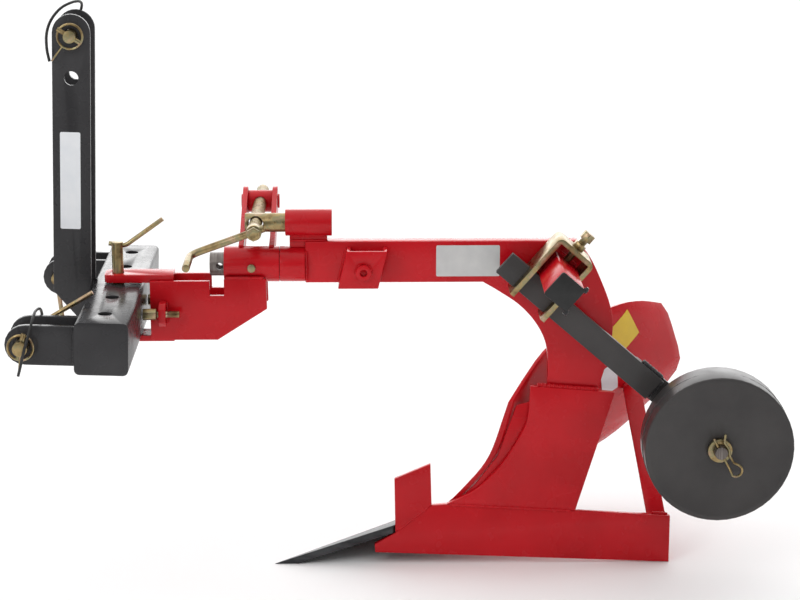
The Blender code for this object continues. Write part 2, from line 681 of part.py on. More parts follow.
def beam():
    start = SLEEVE_JOINT + SLEEVE_SPLIT / 2
    tube = round_mesh((start, *AXIS_LINE), (SLEEVE_REAR, *AXIS_LINE), SLEEVE_RADIUS)
    bore = round_mesh((start - 0.01, *AXIS_LINE), (SLEEVE_REAR + 0.01, *AXIS_LINE), PIVOT_RADIUS + GAP)
    put("rear_sleeve", cut(tube, bore), RED, ROLL)
    pivot = round_mesh((PIVOT_FRONT, *AXIS_LINE), (SLEEVE_REAR, *AXIS_LINE), PIVOT_RADIUS)
    hollow = round_mesh((PIVOT_FRONT - 0.01, *AXIS_LINE), (SLEEVE_REAR + 0.01, *AXIS_LINE), PIVOT_BORE)
    hole_x = PIVOT_FRONT + PIVOT_HOLE_IN
    cross = round_mesh((hole_x, -2 * PIVOT_RADIUS, ROLL_HEIGHT), (hole_x, 2 * PIVOT_RADIUS, ROLL_HEIGHT),
                       PIVOT_HOLE_RADIUS, 16)
    put("pivot_tube", cut(pivot, hollow, cross), STEEL, ROLL)
    inner = smooth([(0.575, BEAM_LOW, 0), (0.600, 0.025, 0), (0.632, 0.003, 0), (0.657, -0.024, 0),
                    (0.674, -0.056, 0), (0.680, -0.095, 0), (0.680, -0.188, 0)])
    outer = smooth([(0.745, -0.188, 0), (0.774, -0.090, 0), (0.782, -0.035, 0), (0.777, 0.000, 0),
                    (0.764, 0.036, 0), (0.745, 0.076, 0), (0.722, BEAM_HIGH, 0)])
    outline = [(BEAM_FRONT, BEAM_HIGH), (BEAM_FRONT, BEAM_LOW)]
    outline += [(p.x, p.y) for p in inner] + [(p.x, p.y) for p in outer]
    put("gooseneck_beam", slab_mesh(outline, -BEAM_HALF, BEAM_HALF), RED, ROLL)


def nut():
    end = HOUSING_FRONT + HOUSING_LENGTH
    tube = round_mesh((HOUSING_FRONT, 0, NUT_HEIGHT), (end, 0, NUT_HEIGHT), HOUSING_RADIUS)
    bore = round_mesh((HOUSING_FRONT - 0.01, 0, NUT_HEIGHT), (end + 0.01, 0, NUT_HEIGHT),
                      NUT_RADIUS + 2 * GAP)
    put("nut_housing", cut(tube, bore), RED, ROLL)
    web = box_mesh((WEB_FRONT, -WEB_HALF, 0.085), (WEB_REAR, WEB_HALF, NUT_HEIGHT))
    around = round_mesh((0.26, 0, NUT_HEIGHT), (0.4, 0, NUT_HEIGHT), HOUSING_RADIUS + GAP)
    below = round_mesh((0.25, *AXIS_LINE), (BEAM_FRONT, *AXIS_LINE), SLEEVE_RADIUS + GAP)
    bar = box_mesh((SLEEVE_REAR, -0.02, 0.03), (0.4, 0.02, BEAM_HIGH + GAP))
    put("housing_web", cut(web, around, below, bar), RED, ROLL)
    bolt = round_mesh((SPINDLE_X - 0.017, 0, NUT_HEIGHT), (end, 0, NUT_HEIGHT), NUT_RADIUS)
    passage = round_mesh((SPINDLE_X, -0.05, NUT_HEIGHT), (SPINDLE_X, 0.05, NUT_HEIGHT),
                         SPINDLE_RADIUS + NUT_PLAY)
    put("nut_tube", cut(bolt, passage), ZINC, NUT)


def leaning_outline(inset, over):
    """The coulter bracket's outline from above the beam's side, inset and grown up and down."""
    lean = COULTER_LEAN / (COULTER_HIGH - COULTER_LOW)
    found = []
    for x, z in ((COULTER_FRONT + inset, COULTER_LOW - over), (COULTER_REAR - inset, COULTER_LOW - over),
                 (COULTER_REAR - inset, COULTER_HIGH + over), (COULTER_FRONT + inset, COULTER_HIGH + over)):
        found.append((x + (z - COULTER_LOW) * lean, z))
    return found


def coulter_bracket():
    """A welded channel beside the beam, with a threaded boss for the coulter's set screw."""
    solid = slab_mesh(leaning_outline(0, 0), COULTER_NEAR, -BEAM_HALF - GAP)
    hollow = slab_mesh(leaning_outline(COULTER_WALL, 0.02), COULTER_NEAR + COULTER_WALL, 0)
    outside = COULTER_NEAR - GAP
    place = (COULTER_SCREW_X, COULTER_SCREW_Z)
    hole = round_mesh((place[0], COULTER_NEAR - 0.02, place[1]), (place[0], COULTER_NEAR + 0.01, place[1]),
                      COULTER_BORE, 24)
    put("coulter_bracket", cut(solid, hollow, hole.copy()), RED, ROLL)
    boss = round_mesh((place[0], outside, place[1]), (place[0], outside - COULTER_BOSS_OUT, place[1]),
                      COULTER_BOSS_RADIUS)
    put("coulter_boss", cut(boss, hole), RED, ROLL)


# ---- depth wheel's stub, clamp, arm and wheel --------------------------------------------------
SLOPE = Matrix.Translation(STUB) @ Matrix((
    (SLOPE_ALONG.x, 0, SLOPE_ACROSS.x, 0),
    (SLOPE_ALONG.y, 1, SLOPE_ACROSS.y, 0),
    (SLOPE_ALONG.z, 0, SLOPE_ACROSS.z, 0),
    (0, 0, 0, 1),
))
STUB_HALF = STUB_SIDE / 2
ARM_HIGH = -STUB_HALF - GAP
ARM_LOW = ARM_HIGH - ARM_WIDE
ARM_FAR = ARM_NEAR + ARM_THICK


def sloped(mesh):
    mesh.transform(SLOPE)
    return mesh


def wheel_clamp():
    stub = slab_mesh(square_outline(STUB_SIDE, 0.004, 3), STUB_END, -BEAM_HALF - GAP)
    hollow = slab_mesh(square_outline(STUB_SIDE - 0.010, 0.002, 3), STUB_END - 0.01, 0)
    put("wheel_stub", sloped(cut(stub, hollow)), RED, ROLL)
    cap = slab_mesh(square_outline(STUB_SIDE, 0.004, 3), STUB_END - CAP_THICK, STUB_END - GAP)
    put("stub_cap", sloped(cap), PLASTIC, ROLL)
    shift = -0.0035
    outer = STRAP_HALF + STRAP_THICK
    top = STRAP_TOP + STRAP_THICK
    corner = 0.010
    outline = [(shift - outer, STRAP_FOOT)]
    outline += arc((shift - outer + corner, top - corner), corner, 180, 90, 4)
    outline += arc((shift + outer - corner, top - corner), corner, 90, 0, 4)
    outline += [(shift + outer, STRAP_FOOT), (shift + STRAP_HALF, STRAP_FOOT),
                (shift + STRAP_HALF, STRAP_TOP), (shift - STRAP_HALF, STRAP_TOP),
                (shift - STRAP_HALF, STRAP_FOOT)]
    strap = slab_mesh(outline, STRAP_NEAR, STRAP_NEAR + STRAP_DEEP)
    window = box_mesh((-0.1, ARM_NEAR - WINDOW_GAP, ARM_LOW - WINDOW_GAP),
                      (0.1, ARM_FAR + WINDOW_GAP, ARM_HIGH + WINDOW_GAP))
    bolt_y = (ARM_NEAR + ARM_FAR) / 2
    hole = round_mesh((BOLT_ALONG, bolt_y, 0), (BOLT_ALONG, bolt_y, 0.1), BOLT_RADIUS + 2 * GAP, 20)
    put("clamp_strap", sloped(cut(strap, window, hole)), ZINC, ROLL)
    shank = round_mesh((BOLT_ALONG, bolt_y, STUB_HALF + GAP), (BOLT_ALONG, bolt_y, BOLT_HEAD_TOP - 0.001),
                       BOLT_RADIUS, 20)
    head = round_mesh((BOLT_ALONG, bolt_y, BOLT_HEAD_LOW), (BOLT_ALONG, bolt_y, BOLT_HEAD_TOP),
                      BOLT_HEAD_RADIUS, 6)
    lock = round_mesh((BOLT_ALONG, bolt_y, top + GAP), (BOLT_ALONG, bolt_y, BOLT_LOCK_TOP),
                      BOLT_HEAD_RADIUS, 6)
    put("clamp_bolt", sloped(join(shank, head, lock)), ZINC, ROLL)


def turned_mesh(profile, steps=48):
    """A closed profile of (radius, height) turned round Z."""
    curve_points = [(r, 0, z) for r, z in profile]
    mesh = bpy.data.meshes.new("profile")
    count = len(curve_points)
    mesh.from_pydata(curve_points, [(k, (k + 1) % count) for k in range(count)], [])
    made = bpy.data.objects.new("turned", mesh)
    bpy.context.scene.collection.objects.link(made)
    screw = made.modifiers.new("turn", "SCREW")
    screw.steps = steps
    screw.render_steps = steps
    screw.use_merge_vertices = True
    screw.merge_threshold = 0.00001
    bpy.context.view_layer.update()
    result = bpy.data.meshes.new_from_object(made.evaluated_get(bpy.context.evaluated_depsgraph_get()))
    bpy.data.objects.remove(made)
    return weld(result)


def wheel_arm():
    arm = box_mesh((ARM_FRONT, ARM_NEAR, ARM_LOW), (ARM_REAR, ARM_FAR, ARM_HIGH))
    put("wheel_arm", sloped(arm), GREY, LIFT)
    near = ARM_FAR + GAP
    link = slab_mesh([(ARM_REAR - 0.053, ARM_LOW), (ARM_REAR - 0.053, ARM_HIGH)]
                     + arc((WHEEL_ALONG, WHEEL_OFF), 0.0205, 90, -90, 8), near, near + LINK_THICK)
    put("axle_plate", sloped(link), GREY, LIFT)
    start, end = Vector(AXLE), Vector(AXLE)
    start.y, end.y = near - GAP, AXLE_END
    pin_y = AXLE_END + 0.0055
    way = Vector((sin(CLIP_TURN), 0, -cos(CLIP_TURN)))
    side = Vector((cos(CLIP_TURN), 0, sin(CLIP_TURN)))
    middle = Vector((AXLE.x, pin_y, AXLE.z))
    hole = round_mesh(middle - way * 0.03, middle + way * 0.03, CLIP_HOLE, 12)
    put("axle", cut(round_mesh(start, end, AXLE_RADIUS), hole), STEEL, LIFT)
    route = [(-0.026, 0), (0.030, 0)] + arc((0.037, 0.0075), 0.0098, -60, 130, 10)
    route += [(0.024, 0.0100), (0.012, 0.0098), (0.000, 0.0130), (-0.012, 0.0115), (-0.024, 0.0190)]
    clip = rod_mesh([middle + way * p + side * q for p, q in route], CLIP_WIRE, sides=2)
    put("hairpin_clip", clip, ZINC, LIFT)
    face = WHEEL_NEAR
    washer = round_mesh((AXLE.x, face + HUB_IN - 0.001, AXLE.z), (AXLE.x, face - WASHER_OUT, AXLE.z),
                        WASHER_RADIUS)
    bore = round_mesh((AXLE.x, face + 0.05, AXLE.z), (AXLE.x, face - 0.05, AXLE.z), AXLE_RADIUS + GAP)
    put("axle_washer", cut(washer, bore), ZINC, LIFT)


def wheel():
    radius, wide, sheet = WHEEL_RADIUS, WHEEL_WIDE, WHEEL_SHEET
    bore = AXLE_RADIUS + AXLE_PLAY
    step = radius * 0.5
    face = [(bore, HUB_IN), (step - 0.006, HUB_IN), (step, 0.0035), (step + 0.006, 0.002),
            (radius - 0.012, 0.002), (radius - 0.008, 0.0), (radius - 0.002, 0.0), (radius, 0.002)]
    outside = face + [(r, wide - z) for r, z in reversed(face)]
    inside = [(r, z + sheet) for r, z in face[:5]] + [(radius - sheet, 0.002 + sheet)]
    inside += [(r, wide - z) for r, z in reversed(inside)]
    mesh = turned_mesh(outside + list(reversed(inside)))
    place = Vector((AXLE.x, WHEEL_NEAR, AXLE.z))
    mesh.transform(Matrix.Translation(place) @ Matrix.Rotation(radians(-90), 4, "X"))
    put("depth_wheel", mesh, GREY, SPIN)


# ---- frog, landside, share and moldboard -----------------------------------------------------
FROG_FAR = -BEAM_HALF - GAP
FROG_NEAR = FROG_FAR - BODY_THICK
FLOOR = -TUBE_HEIGHT
SHARE_RUN = SHARE_REAR - SHARE_TIP
SHARE_LEFT = FROG_NEAR


def share_point(y, back, dip):
    """A point of the share, back along X from the cutting edge and dip below its top."""
    x = SHARE_TIP + (y - SHARE_LEFT) / tan(SHARE_ANGLE) + back
    return Vector((x, y, FLOOR + SHARE_RISE * back - dip))


def share_solid(grow):
    """The share as a slanted plate, grown all round."""
    plate = box_mesh((-SHARE_AHEAD, SHARE_LEFT - grow, -grow),
                     (SHARE_RUN + grow * 1.5, SHARE_LEFT + SHARE_WIDE + grow, SHARE_DIP + grow))
    origin = share_point(0, 0, 0)
    slant = Matrix(((1, 1 / tan(SHARE_ANGLE), 0, origin.x), (0, 1, 0, 0),
                    (SHARE_RISE, 0, -1, origin.z), (0, 0, 0, 1)))
    plate.transform(slant)
    plate.flip_normals()
    return plate


def share():
    below = box_mesh((0, -0.5, FLOOR - 0.2), (1.5, 0.5, FLOOR))
    put("share", cut(share_solid(0), below), STEEL, ROLL)


INNER = FROG_FAR + GAP    # plane where the moldboard starts
BOARD_GAP = 0.0007        # behind the curved sheet
BRACKET_BACK = 0.0145     # bracket's front edge behind the shin
BRACKET_THICK = 0.004
BOARD_TOP = [(0.617, INNER, 0.269), (0.644, 0.010, 0.305), (0.679, 0.040, 0.343),
             (0.735, 0.092, 0.371), (0.7985, 0.146, 0.386), (0.842, 0.190, 0.382),
             (0.888, 0.246, 0.362)]
BOARD_SHIN = [(0.507, INNER, 0.090), (0.552, INNER, 0.132), (0.587, INNER, 0.179),
              (0.610, INNER, 0.246), (0.617, INNER, 0.269)]
BOARD_TAIL = [(0.790, 0.232, 0.125), (0.872, 0.245, 0.193), (0.920, 0.253, 0.247),
              (0.9235, 0.253, 0.272), (0.912, 0.251, 0.311), (0.9005, 0.248, 0.344),
              (0.888, 0.246, 0.362)]


def along(points, steps):
    """Evenly spread points on the smooth curve through the given ones."""
    line = smooth(points, 8)
    lengths = [0.0]
    for a, b in zip(line, line[1:]):
        lengths.append(lengths[-1] + (b - a).length)
    found, k = [], 0
    for step in range(steps + 1):
        goal = lengths[-1] * step / steps
        while k < len(line) - 2 and lengths[k + 1] < goal:
            k += 1
        found.append(line[k].lerp(line[k + 1], (goal - lengths[k]) / (lengths[k + 1] - lengths[k])))
    return found


def board_surface(front, back):
    """The moldboard's curved sheet, from front of its face to back of it."""
    wide, tall = 20, 22
    drop = Vector((0, 0, TUBE_HEIGHT))
    edge = SHARE_RUN - 0.004
    first = share_point(INNER, edge, 0.002)
    last = share_point(0.200, edge, 0.002)
    low = [first.lerp(last, k / wide) for k in range(wide + 1)]
    top = along([Vector(p) - drop for p in BOARD_TOP], wide)
    shin = along([first] + [Vector(p) - drop for p in BOARD_SHIN], tall)
    tail = along([last] + [Vector(p) - drop for p in BOARD_TAIL], tall)
    bm = bmesh.new()
    grid = []
    for i in range(wide + 1):
        u = i / wide
        column = []
        for j in range(tall + 1):
            v = j / tall
            place = (1 - v) * low[i] + v * top[i] + (1 - u) * shin[j] + u * tail[j]
            place -= ((1 - u) * (1 - v) * low[0] + u * (1 - v) * low[-1]
                      + (1 - u) * v * top[0] + u * v * top[-1])
            column.append(bm.verts.new(place))
        grid.append(column)
    for i in range(wide):
        for j in range(tall):
            bm.faces.new((grid[i][j], grid[i][j + 1], grid[i + 1][j + 1], grid[i + 1][j]))
    mesh = bpy.data.meshes.new("board")
    bm.to_mesh(mesh)
    bm.free()
    made = bpy.data.objects.new("board", mesh)
    bpy.context.scene.collection.objects.link(made)
    shell = made.modifiers.new("thick", "SOLIDIFY")
    shell.thickness = front + back
    shell.offset = 2 * front / (front + back) - 1
    bpy.context.view_layer.update()
    result = bpy.data.meshes.new_from_object(made.evaluated_get(bpy.context.evaluated_depsgraph_get()))
    bpy.data.objects.remove(made)
    return weld(result)


def moldboard():
    left = box_mesh((0, -0.3, -1), (1.5, INNER, 1))
    put("moldboard", cut(board_surface(0, MOLD_THICK), left, share_solid(GAP)), RED, ROLL)
    front = [(x + BRACKET_BACK, z) for x, z in ((0.529, 0.108), (0.552, 0.132), (0.587, 0.179),
                                                (0.610, 0.246), (0.616, 0.264))]
    outline = front + [(0.660, 0.272), (0.672, 0.240), (0.655, 0.205), (0.630, 0.165), (0.585, 0.122)]
    plate = slab_mesh([(x, z + FLOOR) for x, z in outline], INNER, INNER + BRACKET_THICK)
    put("moldboard_bracket", plate, RED, ROLL)
    foot = Vector((0.866, -0.030, FLOOR + 0.040))
    top = Vector((0.830, 0.215, FLOOR + 0.285))
    bar = box_mesh((-0.015, -0.003, 0), (0.015, 0.003, (top - foot).length))
    up = (top - foot).normalized()
    wide = Vector((1, 0, 0)) - up * up.x
    wide.normalize()
    flat = up.cross(wide)
    bar.transform(Matrix.Translation(foot) @ Matrix((
        (wide.x, flat.x, up.x, 0), (wide.y, flat.y, up.y, 0), (wide.z, flat.z, up.z, 0), (0, 0, 0, 1))))
    put("moldboard_brace", cut(bar, left.copy(), board_surface(0.06, MOLD_THICK + BOARD_GAP)), RED, ROLL)


def body_plates():
    heel = 0.881
    rise = (0.100 - 0.079) / (heel - 0.517)
    slope = [(0.403, 0.032), (0.4365, 0.052), (0.4948, 0.0985), (0.517, 0.100), (heel, 0.079),
             (heel, 0.0), (0.404, 0.019)]
    landside = slab_mesh([(x, z + FLOOR) for x, z in slope], FROG_NEAR, FROG_FAR)
    put("landside", cut(landside, share_solid(GAP)), RED, ROLL)
    foot = 0.100 + GAP
    front = smooth([(0.519, foot, 0), (0.564, 0.124, 0), (0.587, 0.145, 0), (0.610, 0.172, 0),
                    (0.634, 0.212, 0), (0.648, 0.245, 0), (0.652, 0.299, 0)])
    frog = [(p.x, p.y) for p in front] + [(0.787, 0.288), (0.727, foot - rise * 0.210)]
    put("frog_plate", slab_mesh([(x, z + FLOOR) for x, z in frog], FROG_NEAR, FROG_FAR), RED, ROLL)
    fin = [(0.435, 0.144), (0.493, 0.169), (0.495, 0.0985 + 2 * GAP), (0.4365, 0.052 + 2 * GAP)]
    plate = slab_mesh([(x, z + FLOOR) for x, z in fin], FROG_NEAR, FROG_NEAR + 0.008)
    put("fin", cut(plate, share_solid(GAP)), RED, ROLL)


for make in (cross_tube, lower_lugs, mast, pins, carriage_plates, bracket, front_sleeve, adjuster,
             beam, nut, coulter_bracket, wheel_clamp, wheel_arm, wheel, share, moldboard, body_plates):
    make()

# ---- origin below the middle of the whole plough, on the floor ---------------------------------
bpy.context.view_layer.update()
corners = [piece.matrix_world @ vert.co for piece in PLOUGH.objects if piece.type == "MESH"
           for vert in piece.data.vertices]
low = Vector(min(c[k] for c in corners) for k in range(3))
high = Vector(max(c[k] for c in corners) for k in range(3))
ROOT.location = (-(low.x + high.x) / 2, -(low.y + high.y) / 2, -low.z)
print("origin shift", [round(v, 5) for v in ROOT.location], "size", [round(v, 4) for v in high - low])
for body in (HEAD, YAW, ROLL, NUT, LIFT, SPIN):
    print(body.name, [round(v, 5) for v in offset_of(body)])
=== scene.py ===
# %% [markdown]
# # A single-furrow moldboard plough
# The plough hangs behind a small tractor on three links. Its solid pieces are already made and
# packed, with their joints. This script gives them their edges, paint, plating, welds, threads
# and labels, and sets up the light and the camera.

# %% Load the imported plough
import bpy
import json
from math import cos, pi, radians, sin
from mathutils import Matrix, Vector


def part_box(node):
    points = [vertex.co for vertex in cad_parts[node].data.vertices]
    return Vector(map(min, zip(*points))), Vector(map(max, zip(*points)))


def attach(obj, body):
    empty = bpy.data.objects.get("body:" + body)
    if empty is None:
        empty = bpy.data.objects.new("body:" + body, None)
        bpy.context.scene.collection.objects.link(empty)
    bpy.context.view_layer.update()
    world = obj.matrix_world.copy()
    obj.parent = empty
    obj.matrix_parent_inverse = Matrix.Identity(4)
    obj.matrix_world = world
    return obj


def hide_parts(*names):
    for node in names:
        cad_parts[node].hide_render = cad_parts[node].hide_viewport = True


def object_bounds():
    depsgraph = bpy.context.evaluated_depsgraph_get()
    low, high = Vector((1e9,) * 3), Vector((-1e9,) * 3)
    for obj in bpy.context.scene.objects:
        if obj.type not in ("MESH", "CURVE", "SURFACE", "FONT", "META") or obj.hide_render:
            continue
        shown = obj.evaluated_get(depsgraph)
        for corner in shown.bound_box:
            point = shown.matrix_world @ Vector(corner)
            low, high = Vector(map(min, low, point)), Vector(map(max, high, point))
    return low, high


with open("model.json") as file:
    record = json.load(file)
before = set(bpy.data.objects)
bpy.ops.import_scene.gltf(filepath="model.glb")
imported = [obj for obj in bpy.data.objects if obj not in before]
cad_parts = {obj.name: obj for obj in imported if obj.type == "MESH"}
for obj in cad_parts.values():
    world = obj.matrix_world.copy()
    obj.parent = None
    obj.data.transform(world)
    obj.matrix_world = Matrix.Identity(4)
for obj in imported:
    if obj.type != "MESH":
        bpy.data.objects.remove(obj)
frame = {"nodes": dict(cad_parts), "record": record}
cad_low, cad_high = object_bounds()
print("plough size", [round(b - a, 3) for a, b in zip(cad_low, cad_high)])


def middle_of(node):
    low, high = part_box(node)
    return (Vector(low) + Vector(high)) / 2


TUBE = middle_of("cross_tube")
HEAD_LEAN = radians(1.8)  # the hitch head leans back round the tube
print("cross tube's middle", [round(c, 4) for c in TUBE])


def at(x, y, z):
    """A place given from the middle of the cross tube."""
    return TUBE + Vector((x, y, z))


def on_head(x, y, z):
    """The same for the leaning hitch head."""
    return TUBE + Matrix.Rotation(HEAD_LEAN, 3, "Y") @ Vector((x, y, z))

# %% [markdown]
# ## Camera
# A long lens from the plough's left, a little above its beam, looks slightly down. The distances
# are given from the middle of the cross tube, so the view stays the same if the plough changes.

# %% Place the camera
CAMERA_OFFSET = Vector((0.394, -3.385, 0.901))
LOOK_DOWN = radians(14.778)
LOOK_ASIDE = radians(0.852)
LENS = 99.45              # millimetres, as the sensor
SENSOR = 36
camera = bpy.data.objects.new("camera", bpy.data.cameras.new("camera"))
bpy.context.scene.collection.objects.link(camera)
camera.data.lens = LENS
camera.data.sensor_width = SENSOR
camera.location = TUBE + CAMERA_OFFSET
camera.rotation_euler = (pi / 2 - LOOK_DOWN, 0, -LOOK_ASIDE)
bpy.context.scene.camera = camera
print("camera at", [round(c, 3) for c in camera.location])

# %% [markdown]
# ## Light
# The plough stands in front of a bright white wall, in a room that is darker on the near side.
# Level faces mirror the bright wall at a low angle and turn nearly white, while the faces turned
# to the camera keep their deep colour. The surroundings are one soft gradient on the world, which
# needs no big lamps, and one broad lamp on the near side draws pale reflections on round pieces.

# %% Set up the studio
NEAR_SIDE = 0.34          # brightness of the room on the camera's side
ROOM = 0.85               # of the rest of the room
FAR_SIDE = 2.3            # extra brightness of the wall behind the plough
OVERHEAD = 0.9
world = bpy.data.worlds.new("studio")
bpy.context.scene.world = world
world.use_nodes = True
bpy.context.scene.view_settings.view_transform = "Standard"


def sky_ramp(tree, source, start, end, low, high):
    node = tree.nodes.new("ShaderNodeMapRange")
    node.interpolation_type = "SMOOTHSTEP"
    for key, value in (("From Min", start), ("From Max", end), ("To Min", low), ("To Max", high)):
        node.inputs[key].default_value = value
    tree.links.new(source, node.inputs["Value"])
    return node.outputs["Result"]


sky = world.node_tree
facing = sky.nodes.new("ShaderNodeSeparateXYZ")
sky.links.new(sky.nodes.new("ShaderNodeTexCoord").outputs["Generated"], facing.inputs["Vector"])
strength = sky_ramp(sky, facing.outputs["Y"], -0.3, 0.4, NEAR_SIDE, ROOM)
for axis, start, end, extra in (("Y", 0.70, 0.97, FAR_SIDE), ("Z", 0.35, 1.0, OVERHEAD)):
    total = sky.nodes.new("ShaderNodeMath")
    total.operation = "ADD"
    sky.links.new(strength, total.inputs[0])
    sky.links.new(sky_ramp(sky, facing.outputs[axis], start, end, 0.0, extra), total.inputs[1])
    strength = total.outputs["Value"]
sky.links.new(strength, sky.nodes["Background"].inputs["Strength"])
sky.nodes["Background"].inputs["Color"].default_value = (1, 1, 1, 1)


def area_light(name, place, aim, size, power):
    lamp = bpy.data.lights.new(name, "AREA")
    lamp.shape = "RECTANGLE"
    lamp.size, lamp.size_y = size
    lamp.energy = power
    made = bpy.data.objects.new(name, lamp)
    bpy.context.scene.collection.objects.link(made)
    made.location = place
    made.rotation_euler = (Vector(aim) - Vector(place)).to_track_quat("-Z", "Y").to_euler()
    return made


area_light("light_left", (-1.8, -2.2, 1.9), (0, 0, 0.4), (0.8, 1.4), 14)
print("near side", NEAR_SIDE, "far side", ROOM + FAR_SIDE)

# %% [markdown]
# ## Floor
# The plough stands on a plain floor, so large that its edges stay out of sight. It lies a hair
# below the plough, because two faces in one plane flicker.

# %% Lay the floor
FLOOR_SIZE = 60
FLOOR_BELOW = 0.0005
bpy.ops.object.select_all(action="DESELECT")
bpy.ops.mesh.primitive_plane_add(size=FLOOR_SIZE, location=(0, 0, cad_low[2] - FLOOR_BELOW))
floor = bpy.context.active_object
floor.name = "studio_floor"
print("floor", FLOOR_SIZE, "metres wide")

# %% [markdown]
# ## Finishes
# Each finish is a few nodes on the Principled shader. Object coordinates keep a pattern fixed to
# its piece. Noise at two scales gives paint its faint unevenness and its orange-peel ripple.

# %% A helper for finishes
NOISE_LOW, NOISE_HIGH = 0.3, 0.7  # most of a noise's values lie between these


class Finish:
    """A new material with its shader and short calls for the nodes that feed it."""

    def __init__(self, name, **values):
        self.material = bpy.data.materials.new(name)
        self.material.use_nodes = True
        self.tree = self.material.node_tree
        self.shader = self.tree.nodes["Principled BSDF"]
        for key, value in values.items():
            self.shader.inputs[key.replace("_", " ")].default_value = value
        self.place = self.tree.nodes.new("ShaderNodeTexCoord").outputs["Object"]

    def link(self, source, target):
        self.tree.links.new(source, target)

    def noise(self, scale, detail=3.0, stretch=None):
        node = self.tree.nodes.new("ShaderNodeTexNoise")
        node.inputs["Scale"].default_value = scale
        node.inputs["Detail"].default_value = detail
        source = self.place
        if stretch:
            mapping = self.tree.nodes.new("ShaderNodeMapping")
            mapping.inputs["Scale"].default_value = stretch
            self.link(self.place, mapping.inputs["Vector"])
            source = mapping.outputs["Vector"]
        self.link(source, node.inputs["Vector"])
        return node.outputs["Fac"]

    def ramp(self, source, stops, target=None):
        node = self.tree.nodes.new("ShaderNodeValToRGB")
        ramp = node.color_ramp
        while len(ramp.elements) < len(stops):
            ramp.elements.new(0.5)
        for element, (place, color) in zip(ramp.elements, stops):
            element.position = place
            element.color = (*color, 1) if len(color) == 3 else color
        self.link(source, node.inputs["Fac"])
        if target:
            self.link(node.outputs["Color"], self.shader.inputs[target])
        return node.outputs["Color"]

    def span(self, source, low, high, target):
        node = self.tree.nodes.new("ShaderNodeMapRange")
        node.inputs["From Min"].default_value = NOISE_LOW
        node.inputs["From Max"].default_value = NOISE_HIGH
        node.inputs["To Min"].default_value = low
        node.inputs["To Max"].default_value = high
        self.link(source, node.inputs["Value"])
        self.link(node.outputs["Result"], self.shader.inputs[target])

    def bump(self, source, depth, strength=1.0):
        node = self.tree.nodes.new("ShaderNodeBump")
        node.inputs["Distance"].default_value = depth
        node.inputs["Strength"].default_value = strength
        self.link(source, node.inputs["Height"])
        self.link(node.outputs["Normal"], self.shader.inputs["Normal"])


# %% [markdown]
# ## Paint
# Sprayed gloss paint varies a little in colour and in gloss, and has a fine orange-peel skin. The
# same three noises make all three paints, so one function takes their colours and their gloss.

# %% Mix the paints


def paint(name, light, dark, gloss, ripple=0.00012):
    made = Finish(name, Specular_IOR_Level=0.24)
    made.ramp(made.noise(9.0, 4.0), ((0.35, dark), (0.65, light)), "Base Color")
    made.span(made.noise(35.0, 2.0), gloss, gloss + 0.10, "Roughness")
    made.bump(made.noise(420.0, 2.0), ripple, 0.35)
    return made.material


RED = paint("red_paint", (0.56, 0.006, 0.013), (0.46, 0.004, 0.009), 0.20)
GREY = paint("dark_grey_paint", (0.042, 0.041, 0.043), (0.028, 0.027, 0.029), 0.22)
WHEEL_GREY = paint("wheel_grey_paint", (0.064, 0.060, 0.059), (0.046, 0.043, 0.043), 0.28)
FLOOR_WHITE = Finish("floor_white", Roughness=0.9)
FLOOR_WHITE.ramp(FLOOR_WHITE.noise(0.6), (
    (0.3, (0.93, 0.93, 0.93)), (0.7, (0.95, 0.95, 0.95))), "Base Color")
floor.data.materials.append(FLOOR_WHITE.material)
print("paints", RED.name, GREY.name, WHEEL_GREY.name)

# %% [markdown]
# ## Plating, steel, plastic and labels
# The pins, bolts and strap are plated with yellow zinc, whose thin film shifts from gold to green
# and pink. A colour ramp over one soft noise gives these bands. Bare steel is streaked one way by
# rolling, so its noise is stretched. The plastic and the sticker films are nearly even.

# %% Make the other finishes


def yellow_zinc():
    """Chromated zinc: gold, with faint green and pink bands that wander over it."""
    made = Finish("yellow_zinc", Metallic=1.0)
    made.ramp(made.noise(55.0, 3.0), (
        (0.30, (0.17, 0.12, 0.06)), (0.45, (0.34, 0.25, 0.12)), (0.53, (0.25, 0.23, 0.13)),
        (0.62, (0.38, 0.26, 0.16)), (0.75, (0.42, 0.36, 0.26))), "Base Color")
    made.span(made.noise(120.0), 0.24, 0.42, "Roughness")
    made.bump(made.noise(700.0), 0.0001, 0.3)
    return made.material


def plain_steel(name, dark, light, stretch):
    """Hot-rolled steel with fine scratches along one way."""
    made = Finish(name, Metallic=0.85)
    streaks = made.noise(30.0, 6.0, stretch)
    made.ramp(streaks, ((0.3, dark), (0.7, light)), "Base Color")
    made.span(streaks, 0.32, 0.52, "Roughness")
    made.bump(streaks, 0.0002, 0.4)
    return made.material


def black_plastic():
    made = Finish("black_plastic", Specular_IOR_Level=0.4)
    made.ramp(made.noise(60.0), (
        (0.3, (0.008, 0.008, 0.008)), (0.7, (0.016, 0.016, 0.016))), "Base Color")
    made.span(made.noise(180.0), 0.38, 0.52, "Roughness")
    made.bump(made.noise(900.0), 0.0001, 0.3)
    return made.material


def label(name, light, dark, gloss):
    made = Finish(name)
    made.ramp(made.noise(40.0), ((0.3, dark), (0.7, light)), "Base Color")
    made.span(made.noise(90.0), gloss, gloss + 0.08, "Roughness")
    return made.material


